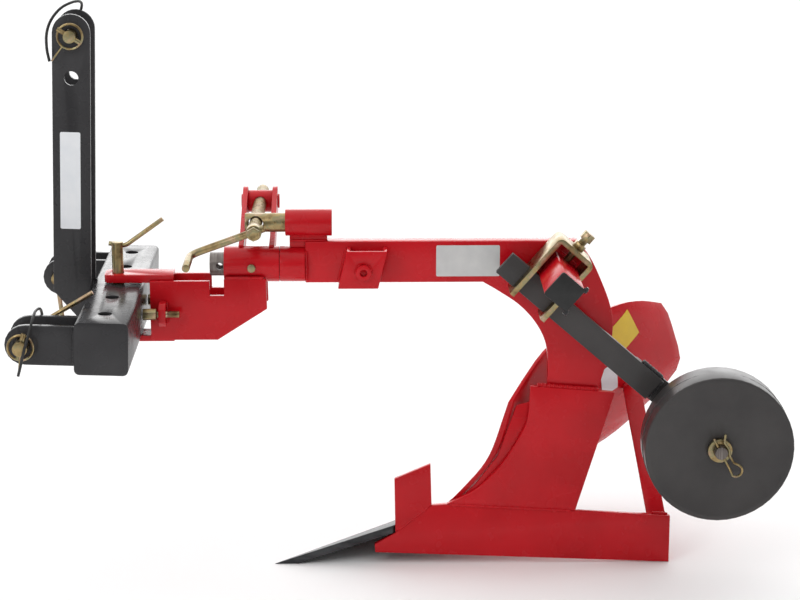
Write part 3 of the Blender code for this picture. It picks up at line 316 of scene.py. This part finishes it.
ZINC = yellow_zinc()
STEEL = plain_steel("dark_steel", (0.028, 0.029, 0.031), (0.085, 0.086, 0.090), (1.0, 14.0, 3.0))
BARE_STEEL = plain_steel("bare_steel", (0.085, 0.070, 0.062), (0.24, 0.215, 0.20), (14.0, 1.0, 1.0))
PLASTIC = black_plastic()
WHITE_LABEL = label("white_label", (0.80, 0.81, 0.83), (0.74, 0.76, 0.79), 0.34)
SILVER_LABEL = label("silver_label", (0.58, 0.58, 0.57), (0.50, 0.50, 0.50), 0.30)
YELLOW_LABEL = label("yellow_label", (0.80, 0.55, 0.02), (0.74, 0.49, 0.02), 0.34)
print("finishes", len(bpy.data.materials))

# %% [markdown]
# ## Edges
# A real plate or casting has no knife edge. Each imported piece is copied, its loose triangles are
# merged, flat faces are joined, and a small bevel rounds its edges, so that they catch the light.

# %% Copy each piece with rounded edges
SLOT_FINISH = {"red_paint": RED, "grey_paint": GREY, "yellow_zinc": ZINC, "black_plastic": PLASTIC,
               "dark_steel": STEEL}
record = frame["record"]
NODE_SLOT = {part["node"]: part["material_slot"] for part in record["subparts"]}
NODE_BODY = {node: body for body, nodes in record["behaviour"]["bodies"].items() for node in nodes}
WHEEL_NODES = ("depth_wheel", "wheel_arm", "axle_plate")
BARE_NODES = ("pivot_tube", "axle")
EDGE = {"cross_tube": 0.0008, "landside": 0.0012, "frog_plate": 0.0012, "share": 0.0004,
        "gooseneck_beam": 0.0014, "moldboard": 0.0012, "depth_wheel": 0.0008}
ROUND_EDGE = 0.0009
SAME_PLACE = 0.00001      # corners this close are one
FLAT_ANGLE = radians(0.6)
THIN_WIRES = ("tether", "linch", "hairpin")


def select_only(piece):
    bpy.ops.object.select_all(action="DESELECT")
    piece.select_set(True)
    bpy.context.view_layer.objects.active = piece


def soften(piece, width, segments=2, angle=35):
    select_only(piece)
    bpy.ops.object.mode_set(mode="EDIT")
    bpy.ops.mesh.select_all(action="SELECT")
    bpy.ops.mesh.remove_doubles(threshold=SAME_PLACE)
    bpy.ops.mesh.dissolve_limited(angle_limit=FLAT_ANGLE)
    bpy.ops.object.mode_set(mode="OBJECT")
    if width:
        bevel = piece.modifiers.new("edges", "BEVEL")
        bevel.width = width
        bevel.segments = segments
        bevel.limit_method = "ANGLE"
        bevel.angle_limit = radians(angle)
        bevel.use_clamp_overlap = True
        bpy.ops.object.modifier_apply(modifier=bevel.name)
    bpy.ops.object.shade_smooth_by_angle(angle=radians(angle))


def finished_copy(node):
    original = frame["nodes"][node]
    mesh = original.data.copy()
    piece = bpy.data.objects.new(node + "_piece", mesh)
    bpy.context.scene.collection.objects.link(piece)
    thin = any(word in node for word in THIN_WIRES)
    soften(piece, 0 if thin else EDGE.get(node, ROUND_EDGE))
    finish = WHEEL_GREY if node in WHEEL_NODES else SLOT_FINISH[NODE_SLOT[node]]
    if node in BARE_NODES:
        finish = BARE_STEEL
    piece.data.materials.clear()
    piece.data.materials.append(finish)
    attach(piece, NODE_BODY[node])
    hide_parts(node)
    return piece


PIECES = {node: finished_copy(node) for node in NODE_SLOT}
print("pieces with rounded edges", len(PIECES))

# %% [markdown]
# ## Weld beads
# Most of the red plates are welded together, and the paint lies over the beads. A bead is a row
# of overlapping ripples. Here a small disc is pushed along the joint in short steps by extrusion,
# and each new ring is made a little larger or smaller than the one before, which gives ripples
# with true rounded sides. A plain tube would look like a cord laid in the corner.

# %% A helper for weld beads
RIPPLE = 0.0032           # from one ripple of a bead to the next
BEAD_SIDES = 10
BEAD_START, BEAD_VALLEY, BEAD_TAPER = 0.55, 0.80, 0.6
BEAD_UNEVEN = 0.08


def spaced(points, step):
    """Places every step along a line through the given points."""
    points = [Vector(p) for p in points]
    found = [points[0]]
    left = step
    for a, b in zip(points, points[1:]):
        run = (b - a).length
        while left <= run:
            found.append(a.lerp(b, left / run))
            left += step
        left -= run
    return found


def take_over(piece, name, body, finish):
    """Puts a finished piece's place in its mesh and hangs it on its body."""
    select_only(piece)
    bpy.ops.object.transform_apply(location=True, rotation=True, scale=True)
    piece.name = name
    piece.data.materials.clear()
    piece.data.materials.append(finish)
    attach(piece, body)
    return piece


def weld_bead(name, points, radius, body="beam", finish=RED):
    """A disc pushed along the points, larger and smaller by turns."""
    places = spaced(points, RIPPLE / 2)
    turn = (places[1] - places[0]).to_track_quat("Z", "Y").to_euler()
    bpy.ops.object.select_all(action="DESELECT")
    bpy.ops.mesh.primitive_circle_add(
        vertices=BEAD_SIDES, radius=radius * BEAD_START, fill_type="NGON",
        location=places[0], rotation=turn)
    piece = bpy.context.active_object
    bpy.ops.object.mode_set(mode="EDIT")
    bpy.ops.mesh.select_mode(type="FACE")
    bpy.ops.mesh.select_all(action="SELECT")
    size = BEAD_START
    for k, (a, b) in enumerate(zip(places, places[1:])):
        bpy.ops.mesh.extrude_region_move(TRANSFORM_OT_translate={"value": b - a})
        wanted = 1.0 + BEAD_UNEVEN * sin(1.7 * k) if k % 2 == 0 else BEAD_VALLEY
        if k >= len(places) - 3:
            wanted = BEAD_TAPER
        factor = wanted / size
        bpy.ops.transform.resize(value=(factor, factor, factor), center_override=b)
        size = wanted
    bpy.ops.mesh.select_all(action="SELECT")
    bpy.ops.mesh.normals_make_consistent(inside=False)
    bpy.ops.object.mode_set(mode="OBJECT")
    bpy.ops.object.shade_smooth_by_angle(angle=radians(60))
    return take_over(piece, name, body, finish)


print("a ripple every", RIPPLE * 1000, "mm")

# %% [markdown]
# ## Welds of the beam and its sleeve
# The turning sleeve is welded to the beam's end, and a web carries the nut's housing above it.
# The fixed sleeve sits in a seat on the two side plates. Each bead lies just proud of the corner
# between two plates, half sunk in both, as a fillet weld does.

# %% Weld the beam, sleeve and web
BEAM_FACE = -0.0125       # beam's near face
PLATE_FACE = -0.0228      # near face of the frog and the landside
SLEEVE_END = 0.2965
WEB_FRONT, WEB_REAR = 0.273, 0.329
near_line = BEAM_FACE - 0.0010
weld_bead("weld_beam_sleeve", [at(SLEEVE_END, near_line, 0.043), at(SLEEVE_END, near_line, 0.092)],
          0.0032)
for side, word in ((-1, "near"), (1, "far")):
    y = side * 0.0072
    weld_bead(f"weld_web_low_{word}", [at(WEB_FRONT, y, 0.1070), at(WEB_REAR, y, 0.1070)], 0.0022)
    weld_bead(f"weld_web_high_{word}", [at(WEB_FRONT, y, 0.1147), at(WEB_REAR, y, 0.1147)], 0.0020)
    seat = side * 0.0285
    weld_bead(f"weld_seat_{word}", [at(0.171, seat, 0.0520), at(0.231, seat, 0.0520)],
              0.0028, "carriage")

# %% [markdown]
# ## Welds of the coulter bracket
# A small channel is welded to the beam's side by its two upright edges, and a threaded boss to the
# channel's face. The boss has a bead all round, so that bead follows a circle.

# %% Weld the coulter bracket and its boss
BRACKET_LEAN = 0.014
bracket_line = BEAM_FACE - 0.0012
for word, x in (("front", 0.347), ("rear", 0.4097)):
    top = at(x + BRACKET_LEAN * 0.92, bracket_line, 0.096)
    weld_bead(f"weld_coulter_{word}", [at(x, bracket_line, 0.042), top], 0.0024)


def ring_of(middle, radius, count=40):
    """Places round a circle that faces the near side."""
    turns = (2 * pi * k / count for k in range(count + 1))
    return [middle + Vector((radius * cos(t), 0, radius * sin(t))) for t in turns]


weld_bead("weld_coulter_boss", ring_of(at(0.387, -0.0507, 0.0665), 0.0126), 0.0018)

# %% [markdown]
# ## Welds of the plough's body
# The frog joins the shank to the landside, and the brace holds the moldboard off the landside's
# heel. Their beads take the most load, so they are the thickest.

# %% Weld the frog, landside and brace
TOP_LINE = PLATE_FACE + 0.0065
FIN_LINE = PLATE_FACE + 0.001
SHIN_LINE = BEAM_FACE + 0.003
BODY_SEAMS = (
    ("weld_frog_top", (0.662, TOP_LINE, -0.1290), (0.762, TOP_LINE, -0.1372), 0.0048),
    ("weld_frog_foot", (0.524, PLATE_FACE, -0.3279), (0.722, PLATE_FACE, -0.3394), 0.0024),
    ("weld_fin_foot", (0.441, FIN_LINE, -0.3720), (0.490, FIN_LINE, -0.3322), 0.0022),
    ("weld_brace_foot", (0.852, -0.0150, -0.3468), (0.879, -0.0150, -0.3482), 0.0034),
    ("weld_brace_top", (0.822, 0.1660, -0.1870), (0.848, 0.1825, -0.1715), 0.0040),
    ("weld_shin", (0.683, SHIN_LINE, -0.105), (0.679, SHIN_LINE, -0.150), 0.0030),
)
for name, start, end, radius in BODY_SEAMS:
    weld_bead(name, [at(*start), at(*end)], radius)

# %% [markdown]
# ## Welds of the hitch head
# Each lug and mast plate meets the cross tube at right angles and is welded on both sides. The
# place across comes from each plate's own box, so the beads follow the plates.

# %% Weld the hitch head
TUBE_LINE = -0.0415       # just off the tube's front face
HEAD_PLATES = ("lug_left_outer", "lug_left_inner", "lug_right_inner", "lug_right_outer",
               "mast_plate_left", "mast_plate_right")
for node in HEAD_PLATES:
    low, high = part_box(node)
    top = 0.026 if "lug" in node else 0.036
    for word, y in (("near", low[1] - 0.0012), ("far", high[1] + 0.0012)):
        y -= TUBE.y
        weld_bead(f"weld_{node}_{word}", [on_head(TUBE_LINE, y, -0.026), on_head(TUBE_LINE, y, top)],
                  0.0028, "headstock", GREY)

# %% [markdown]
# ## Welds of the screw lugs, the stub and the arm
# The depth wheel's square stub stands on the beam's side, turned to the slope of the wheel's arm,
# so its four beads are placed along and across that slope.

# %% Weld the screw lugs
for side, word in ((-1, "left"), (1, "right")):
    y = side * 0.0315
    for edge, x in (("front", 0.0665), ("rear", 0.0785)):
        weld_bead(f"weld_screw_lug_{word}_{edge}", [at(x, y, -0.019), at(x, y, 0.015)],
                  0.0020, "carriage")

# %% Weld the stub and the arm
ARM_SLOPE = radians(41)
STUB = at(0.6895, 0, 0.065)
ALONG = Vector((cos(ARM_SLOPE), 0, -sin(ARM_SLOPE)))
ACROSS = Vector((sin(ARM_SLOPE), 0, cos(ARM_SLOPE)))


def on_slope(along, across, y):
    """A place given along and across the wheel arm's slope from the stub's middle."""
    return STUB + ALONG * along + ACROSS * across + Vector((0, y, 0))


HALF_STUB = 0.0225
ARM_END = 0.2435
ARM_WELD_Y = -0.0435
CAP_Y = -0.168
CAP_BEAD_HALF = 0.005
corners = [(-1, -1), (1, -1), (1, 1), (-1, 1), (-1, -1)]
for k, (a, b) in enumerate(zip(corners, corners[1:])):
    ends = [on_slope(HALF_STUB * p, HALF_STUB * q, near_line) for p, q in (a, b)]
    weld_bead(f"weld_stub_{k}", ends, 0.0028)
for word, places in (("end", ((ARM_END + 0.001, -0.0235), (ARM_END + 0.001, -0.0615))),
                     ("top", ((0.200, -0.0218), (ARM_END, -0.0218)))):
    weld_bead(f"weld_arm_{word}", [on_slope(p, q, ARM_WELD_Y) for p, q in places], 0.0055,
              "wheel_support", GREY)
for word, across in (("right", HALF_STUB), ("low", -HALF_STUB)):
    ends = [on_slope(HALF_STUB + 0.001, across + part, CAP_Y)
            for part in (-CAP_BEAD_HALF, CAP_BEAD_HALF)]
    weld_bead(f"weld_cap_{word}", ends, 0.0045, "beam", GREY)

# %% [markdown]
# ## Threads
# The spindle, the set screws and the clamp bolt are threaded. A thread is a three-sided ridge
# wound round the rod. The Screw modifier winds a small triangle once per turn and lifts it by
# the pitch, so the ridge is a real helix that catches the light, as a bump pattern can't.

# %% A helper for threads
THREAD_STEPS = 18
RIDGE = 0.56              # radius of the ridge's triangle, in pitches


def thread(name, start, end, radius, pitch, body):
    start, end = Vector(start), Vector(end)
    turns = int((end - start).length / pitch) - 1
    bpy.ops.object.select_all(action="DESELECT")
    bpy.ops.mesh.primitive_circle_add(
        vertices=3, radius=pitch * RIDGE, fill_type="NOTHING", location=(0, 0, 0),
        rotation=(pi / 2, 0, 0))
    piece = bpy.context.active_object
    bpy.ops.object.transform_apply(location=True, rotation=True, scale=True)
    bpy.ops.object.mode_set(mode="EDIT")
    bpy.ops.mesh.select_all(action="SELECT")
    bpy.ops.transform.rotate(value=pi / 2, orient_axis="Y", center_override=(0, 0, 0))
    bpy.ops.transform.translate(value=(radius, 0, pitch / 2))
    bpy.ops.object.mode_set(mode="OBJECT")
    wind = piece.modifiers.new("wind", "SCREW")
    wind.screw_offset = pitch
    wind.iterations = turns
    wind.steps = THREAD_STEPS
    wind.render_steps = THREAD_STEPS
    wind.use_merge_vertices = False
    bpy.ops.object.modifier_apply(modifier=wind.name)
    bpy.ops.object.mode_set(mode="EDIT")
    bpy.ops.mesh.select_all(action="SELECT")
    bpy.ops.mesh.fill_holes(sides=3)
    bpy.ops.mesh.normals_make_consistent(inside=False)
    bpy.ops.object.mode_set(mode="OBJECT")
    piece.location = start
    piece.rotation_euler = (end - start).to_track_quat("Z", "Y").to_euler()
    return take_over(piece, name, body, ZINC)


# %% Cut the threads
SPINDLE = at(0.2185, 0, 0.1345)
SCREW_SPREAD = 0.045
SCREW_HEIGHT = -0.002
BOLT_ALONG = -0.002
BOLT_Y = -0.047
for k, (start, end) in enumerate(((-0.054, -0.0205), (0.0225, 0.140), (0.179, 0.244))):
    ends = [SPINDLE + Vector((0, y, 0)) for y in (start, end)]
    thread(f"spindle_thread_{k}", *ends, 0.0097, 0.0030, "carriage")
for side, word in ((-1, "left"), (1, "right")):
    ends = [at(x, side * SCREW_SPREAD, SCREW_HEIGHT) for x in (0.0795, 0.0985)]
    thread(f"set_screw_thread_{word}", *ends, 0.0048, 0.0016, f"{word}_screw")
ends = [on_slope(BOLT_ALONG, across, BOLT_Y) for across in (0.0565, 0.0655)]
thread("clamp_bolt_thread", *ends, 0.0058, 0.0018, "beam")

# %% [markdown]
# ## Labels
# Four thin stickers are left blank. The flat ones start as a thin block whose four short edges are
# rounded by a bevel, so each has a clear film edge.

# %% Stick on the flat labels
FILM = 0.0004
OFF_FACE = 0.0001         # between a film and the plate under it
CORNER = 0.0025


def sticker(name, middle, wide, tall, body, finish, lean=0.0):
    """A thin film that faces the near side, wide along X and tall along Z."""
    bpy.ops.object.select_all(action="DESELECT")
    bpy.ops.mesh.primitive_cube_add(size=1, location=(0, 0, 0), scale=(wide, FILM, tall))
    piece = bpy.context.active_object
    bpy.ops.object.transform_apply(location=False, rotation=False, scale=True)
    bpy.ops.object.mode_set(mode="EDIT")
    bpy.ops.mesh.select_mode(type="EDGE")
    bpy.ops.mesh.select_all(action="DESELECT")
    bpy.ops.object.mode_set(mode="OBJECT")
    for edge in piece.data.edges:
        a, b = (piece.data.vertices[v].co for v in edge.vertices)
        edge.select = abs(a.y - b.y) > FILM / 2
    bpy.ops.object.mode_set(mode="EDIT")
    bpy.ops.mesh.bevel(offset=CORNER, segments=5, profile=0.5)
    bpy.ops.object.mode_set(mode="OBJECT")
    piece.location = middle
    piece.rotation_euler = (0, lean, 0)
    return take_over(piece, name, body, finish)


MAST_FACE = -0.034
sticker("beam_label", at(0.551, BEAM_FACE - FILM / 2 - OFF_FACE, 0.0746), 0.100, 0.050,
        "beam", SILVER_LABEL)
sticker("mast_label", on_head(-0.0712, MAST_FACE - FILM / 2 - OFF_FACE, 0.2070), 0.0312, 0.152,
        "headstock", WHITE_LABEL, lean=HEAD_LEAN)

# %% [markdown]
# ## Labels on the moldboard
# A sticker follows the curved sheet under it. A fine grid is held behind the moldboard's back and
# pressed on it by Shrinkwrap, in one direction only, so that no corner reaches the other side.
# Solidify then gives the film its thickness.

# %% Lay the two labels on the moldboard
BOARD_BACK = Vector((0.68, -0.72, 0.0)).normalized()  # the way its back faces there
PRESS_FROM = 0.030
PRESS_GAP = 0.0003
GRID = 14


def curved_sticker(name, middle, wide, tall, turn, finish):
    """A film pressed on the moldboard's back."""
    bpy.ops.object.select_all(action="DESELECT")
    bpy.ops.mesh.primitive_grid_add(x_subdivisions=GRID, y_subdivisions=GRID, size=1)
    piece = bpy.context.active_object
    piece.scale = (wide, tall, 1)
    bpy.ops.object.transform_apply(location=False, rotation=False, scale=True)
    piece.location = middle + BOARD_BACK * PRESS_FROM
    facing_way = BOARD_BACK.to_track_quat("Z", "Y").to_matrix().to_4x4()
    piece.rotation_euler = (facing_way @ Matrix.Rotation(turn, 4, "Z")).to_euler()
    wrap = piece.modifiers.new("press", "SHRINKWRAP")
    wrap.target = PIECES["moldboard"]
    wrap.wrap_method = "PROJECT"
    wrap.use_project_z = True
    wrap.use_positive_direction = False
    wrap.use_negative_direction = True
    wrap.wrap_mode = "ABOVE_SURFACE"
    wrap.offset = PRESS_GAP
    bpy.ops.object.modifier_apply(modifier=wrap.name)
    film = piece.modifiers.new("film", "SOLIDIFY")
    film.thickness = FILM
    film.offset = 1
    bpy.ops.object.modifier_apply(modifier=film.name)
    bpy.ops.object.shade_smooth_by_angle(angle=radians(30))
    return take_over(piece, name, "beam", finish)


curved_sticker("board_label_yellow", at(0.8185, 0.1520, -0.0880), 0.054, 0.052, radians(32),
               YELLOW_LABEL)
curved_sticker("board_label_white", at(0.7951, 0.1367, -0.1674), 0.034, 0.056, radians(24),
               WHITE_LABEL)

# %% [markdown]
# ## Crank nut
# The crank is held on its spindle by a nut. It starts as a six-sided cylinder; its face is inset
# to a sunk ring round the bore, and its edges are rounded.

# %% Put the nut on the crank
RING_WIDE = 0.0006
RING_DEEP = 0.0012


def hex_nut(name, start, end, across, body, bore):
    """A nut from start to end, with a sunk ring round its bore and rounded edges."""
    start, end = Vector(start), Vector(end)
    turn = (end - start).to_track_quat("Z", "Y").to_euler()
    bpy.ops.object.select_all(action="DESELECT")
    bpy.ops.mesh.primitive_cylinder_add(
        vertices=6, radius=across / 2 / cos(pi / 6), depth=(end - start).length,
        location=(start + end) / 2, rotation=turn)
    piece = bpy.context.active_object
    bpy.ops.object.mode_set(mode="EDIT")
    bpy.ops.mesh.select_mode(type="FACE")
    bpy.ops.mesh.select_all(action="DESELECT")
    bpy.ops.object.mode_set(mode="OBJECT")
    for face in piece.data.polygons:
        face.select = len(face.vertices) == 6
    bpy.ops.object.mode_set(mode="EDIT")
    bpy.ops.mesh.inset(thickness=across / 2 - bore, depth=0)
    bpy.ops.mesh.inset(thickness=RING_WIDE, depth=-RING_DEEP)
    bpy.ops.object.mode_set(mode="OBJECT")
    soften(piece, ROUND_EDGE)
    return take_over(piece, name, body, ZINC)


hub = SPINDLE + Vector((0, -0.0765, 0))
nut_end = hub + Vector((0, -0.009, 0))
hex_nut("crank_nut", hub, nut_end, 0.019, "carriage", 0.0062)
print("crank nut from", [round(c, 4) for c in hub])

# %% [markdown]
# ## Seam of the wheel
# The wheel is pressed in two halves that are welded round the middle of the tread, so one thin
# bead runs all round it.

# %% Weld the wheel's seam
wheel_low, wheel_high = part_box("depth_wheel")
wheel_middle = (Vector(wheel_low) + Vector(wheel_high)) / 2
tread = (wheel_high[2] - wheel_low[2]) / 2
weld_bead("wheel_seam", ring_of(wheel_middle, tread - 0.0004, count=96), 0.0016, "wheel",
          WHEEL_GREY)
print("tread radius", round(tread, 4))
